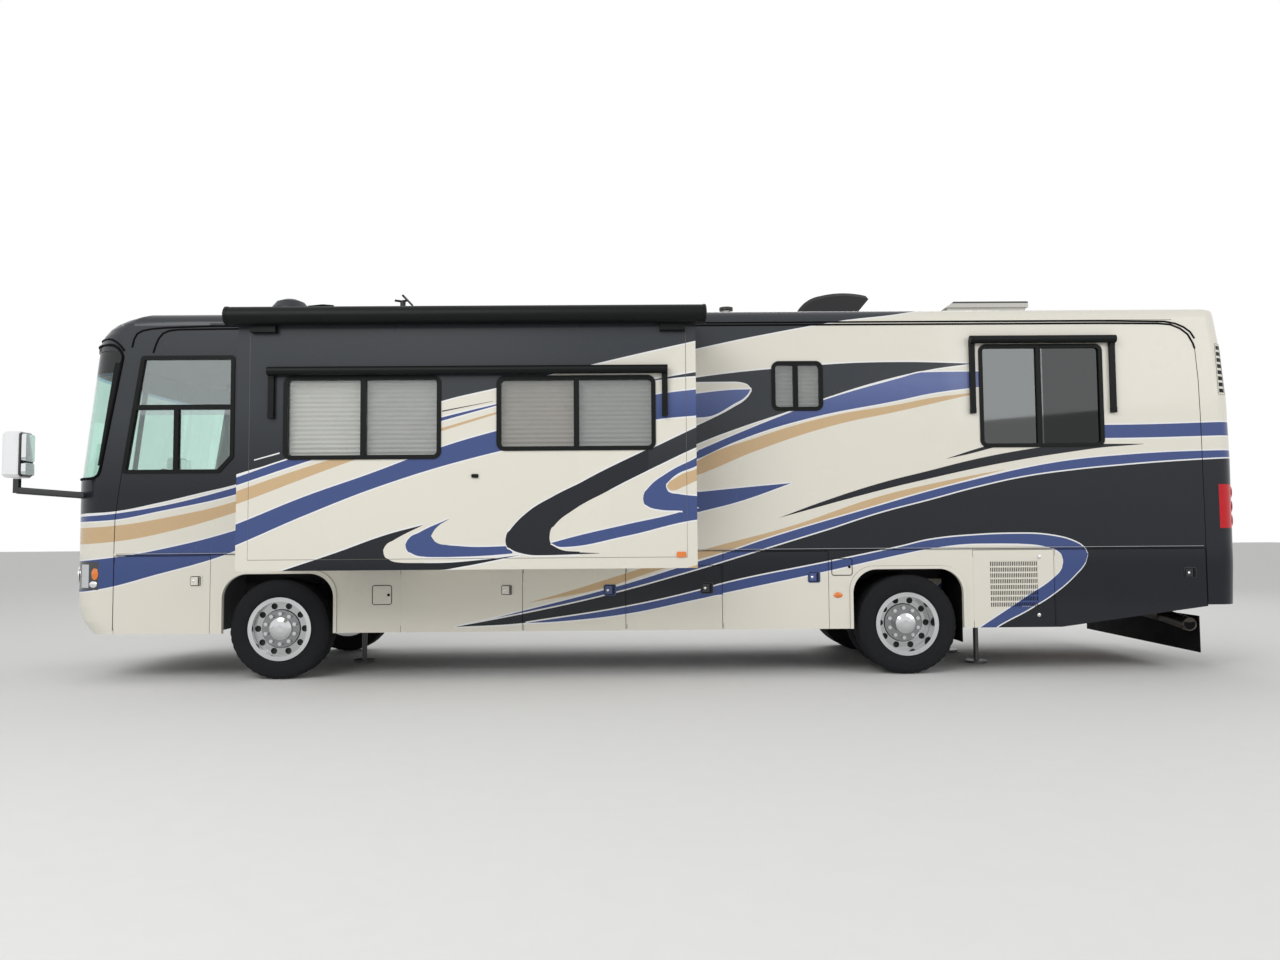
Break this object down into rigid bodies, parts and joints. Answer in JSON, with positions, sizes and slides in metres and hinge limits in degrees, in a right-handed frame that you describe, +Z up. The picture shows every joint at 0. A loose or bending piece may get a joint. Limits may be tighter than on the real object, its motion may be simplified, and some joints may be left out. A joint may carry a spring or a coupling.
{
  "type": "motorhome",
  "caption": "Rear-engined motorhome with an extended slide-out room, steerable front wheels, twin rear wheels, hinged storage doors, entry door and engine lid.",
  "frame": {"origin": "on the ground, midway between the body sides, 5.6 m behind the nose", "axes": "+Z up, -X towards the nose, -Y towards the driver's side"},
  "size_m": [11.6148, 3.953, 3.9349],
  "materials": {
    "awning_metal": "satin black",
    "axle_iron": "cast",
    "body_paint": "gloss",
    "chassis_steel": "semi-gloss black",
    "dash_plastic": "grained",
    "door_paint": "gloss",
    "engine_iron": "painted casting",
    "exhaust_steel": "heat-stained",
    "fitting_plastic": "white plastic",
    "flap_rubber": "matte",
    "floor_board": "plywood deck",
    "glass": "tinted",
    "jack_steel": "plain",
    "lamp_clear": "clear lens",
    "lamp_red": "red lens",
    "mirror_chrome": "polished",
    "rim_aluminium": "polished",
    "roof_plastic": "satin black shell",
    "seat_leather": "soft",
    "shield_glass": "clear green tint",
    "spring_rubber": "matte",
    "trim_black": "satin black",
    "tyre_rubber": "matte"
  },
  "bodies": {
    "coach": {"air_springs": "spring_rubber", "basement": "chassis_steel", "body_awnings": "awning_metal", "cab_seats": "seat_leather", "cabin_floor": "floor_board", "chassis_frame": "chassis_steel", "dashboard": "dash_plastic", "engine_block": "engine_iron", "exhaust": "exhaust_steel", "front_axle": "axle_iron", "front_cap": "body_paint", "front_grille": "trim_black", "headlamps": "lamp_clear", "left_skirt": "body_paint", "left_wall": "body_paint", "levelling_jacks": "jack_steel", "mirrors": "mirror_chrome", "mud_flaps": "flap_rubber", "rear_axle": "axle_iron", "rear_bumper": "body_paint", "rear_cap": "body_paint", "right_skirt": "body_paint", "right_wall": "body_paint", "roof": "body_paint", "roof_air_conditioner": "roof_plastic", "roof_fittings": "fitting_plastic", "steering_wheel": "dash_plastic", "tail_lamps": "lamp_red", "wheel_wells": "chassis_steel", "window_frames": "trim_black", "window_glass": "glass", "windshield": "shield_glass"},
    "wheel_front_left": {"rim_front_left": "rim_aluminium", "tyre_front_left": "tyre_rubber"},
    "wheel_front_right": {"rim_front_right": "rim_aluminium", "tyre_front_right": "tyre_rubber"},
    "wheels_rear_left": {"rims_rear_left": "rim_aluminium", "tyres_rear_left": "tyre_rubber"},
    "wheels_rear_right": {"rims_rear_right": "rim_aluminium", "tyres_rear_right": "tyre_rubber"},
    "knuckle_left": {"knuckle_left": "axle_iron"},
    "knuckle_right": {"knuckle_right": "axle_iron"},
    "slide_out": {"slide_room": "body_paint", "slide_awnings": "awning_metal", "slide_window_frames": "trim_black", "slide_window_glass": "glass"},
    "entry_door": {"entry_door": "door_paint", "entry_door_glass": "glass"},
    "engine_lid": {"engine_lid": "door_paint"},
    "door_front_left": {"door_front_left": "door_paint"},
    "door_bay_1_left": {"door_bay_1_left": "door_paint"},
    "door_bay_2_left": {"door_bay_2_left": "door_paint"},
    "door_bay_3_left": {"door_bay_3_left": "door_paint"},
    "door_bay_4_left": {"door_bay_4_left": "door_paint"},
    "door_grille_left": {"door_grille_left": "door_paint"},
    "door_rear_left": {"door_rear_left": "door_paint"},
    "door_bay_1_right": {"door_bay_1_right": "door_paint"},
    "door_bay_2_right": {"door_bay_2_right": "door_paint"},
    "door_rear_right": {"door_rear_right": "door_paint"}
  },
  "joints": [
    {"name": "steer_left", "type": "hinge", "parent": "coach", "child": "knuckle_left", "pos_m": [-3.5, -0.88, 0.475], "axis": [0, 0, 1], "range_deg": [-45, 45]},
    {"name": "steer_right", "type": "hinge", "parent": "coach", "child": "knuckle_right", "pos_m": [-3.5, 0.88, 0.475], "axis": [0, 0, 1], "range_deg": [-45, 45]},
    {"name": "spin_front_left", "type": "hinge", "parent": "knuckle_left", "child": "wheel_front_left", "pos_m": [-3.5, -1.1, 0.475], "axis": [0, 1, 0], "continuous": true},
    {"name": "spin_front_right", "type": "hinge", "parent": "knuckle_right", "child": "wheel_front_right", "pos_m": [-3.5, 1.1, 0.475], "axis": [0, 1, 0], "continuous": true},
    {"name": "spin_rear_left", "type": "hinge", "parent": "coach", "child": "wheels_rear_left", "pos_m": [2.473, -0.945, 0.475], "axis": [0, 1, 0], "continuous": true},
    {"name": "spin_rear_right", "type": "hinge", "parent": "coach", "child": "wheels_rear_right", "pos_m": [2.473, 0.945, 0.475], "axis": [0, 1, 0], "continuous": true},
    {"name": "slide_out_travel", "type": "slide", "parent": "coach", "child": "slide_out", "axis": [0, 1, 0], "range_m": [0, 0.82]},
    {"name": "entry_door_hinge", "type": "hinge", "parent": "coach", "child": "entry_door", "pos_m": [-4.95, 1.275, 1.59], "axis": [0, 0, 1], "range_deg": [0, 100]},
    {"name": "engine_lid_hinge", "type": "hinge", "parent": "coach", "child": "engine_lid", "pos_m": [5.716, 0, 1.8], "axis": [0, -1, 0], "range_deg": [0, 80]},
    {"name": "door_front_left_hinge", "type": "hinge", "parent": "coach", "child": "door_front_left", "pos_m": [-5.042, -1.275, 0.8], "axis": [0, 0, -1], "range_deg": [0, 100]},
    {"name": "door_bay_1_left_hinge", "type": "hinge", "parent": "coach", "child": "door_bay_1_left", "pos_m": [-2.34, -1.275, 0.8], "axis": [0, 0, -1], "range_deg": [0, 100]},
    {"name": "door_bay_2_left_hinge", "type": "hinge", "parent": "coach", "child": "door_bay_2_left", "pos_m": [-1.177, -1.275, 0.8], "axis": [0, 0, -1], "range_deg": [0, 100]},
    {"name": "door_bay_3_left_hinge", "type": "hinge", "parent": "coach", "child": "door_bay_3_left", "pos_m": [-0.199, -1.275, 0.8], "axis": [0, 0, -1], "range_deg": [0, 100]},
    {"name": "door_bay_4_left_hinge", "type": "hinge", "parent": "coach", "child": "door_bay_4_left", "pos_m": [0.718, -1.275, 0.8], "axis": [0, 0, -1], "range_deg": [0, 100]},
    {"name": "door_grille_left_hinge", "type": "hinge", "parent": "coach", "child": "door_grille_left", "pos_m": [3.099, -1.275, 0.8], "axis": [0, 0, -1], "range_deg": [0, 100]},
    {"name": "door_rear_left_hinge", "type": "hinge", "parent": "coach", "child": "door_rear_left", "pos_m": [3.884, -1.275, 0.8], "axis": [0, 0, -1], "range_deg": [0, 100]},
    {"name": "door_bay_1_right_hinge", "type": "hinge", "parent": "coach", "child": "door_bay_1_right", "pos_m": [-2.34, 1.275, 0.8], "axis": [0, 0, 1], "range_deg": [0, 100]},
    {"name": "door_bay_2_right_hinge", "type": "hinge", "parent": "coach", "child": "door_bay_2_right", "pos_m": [-0.199, 1.275, 0.8], "axis": [0, 0, 1], "range_deg": [0, 100]},
    {"name": "door_rear_right_hinge", "type": "hinge", "parent": "coach", "child": "door_rear_right", "pos_m": [3.099, 1.275, 0.8], "axis": [0, 0, 1], "range_deg": [0, 100]}
  ],
  "couplings": [
    {"joint": "steer_right", "follows": "steer_left", "ratio": 1}
  ]
}
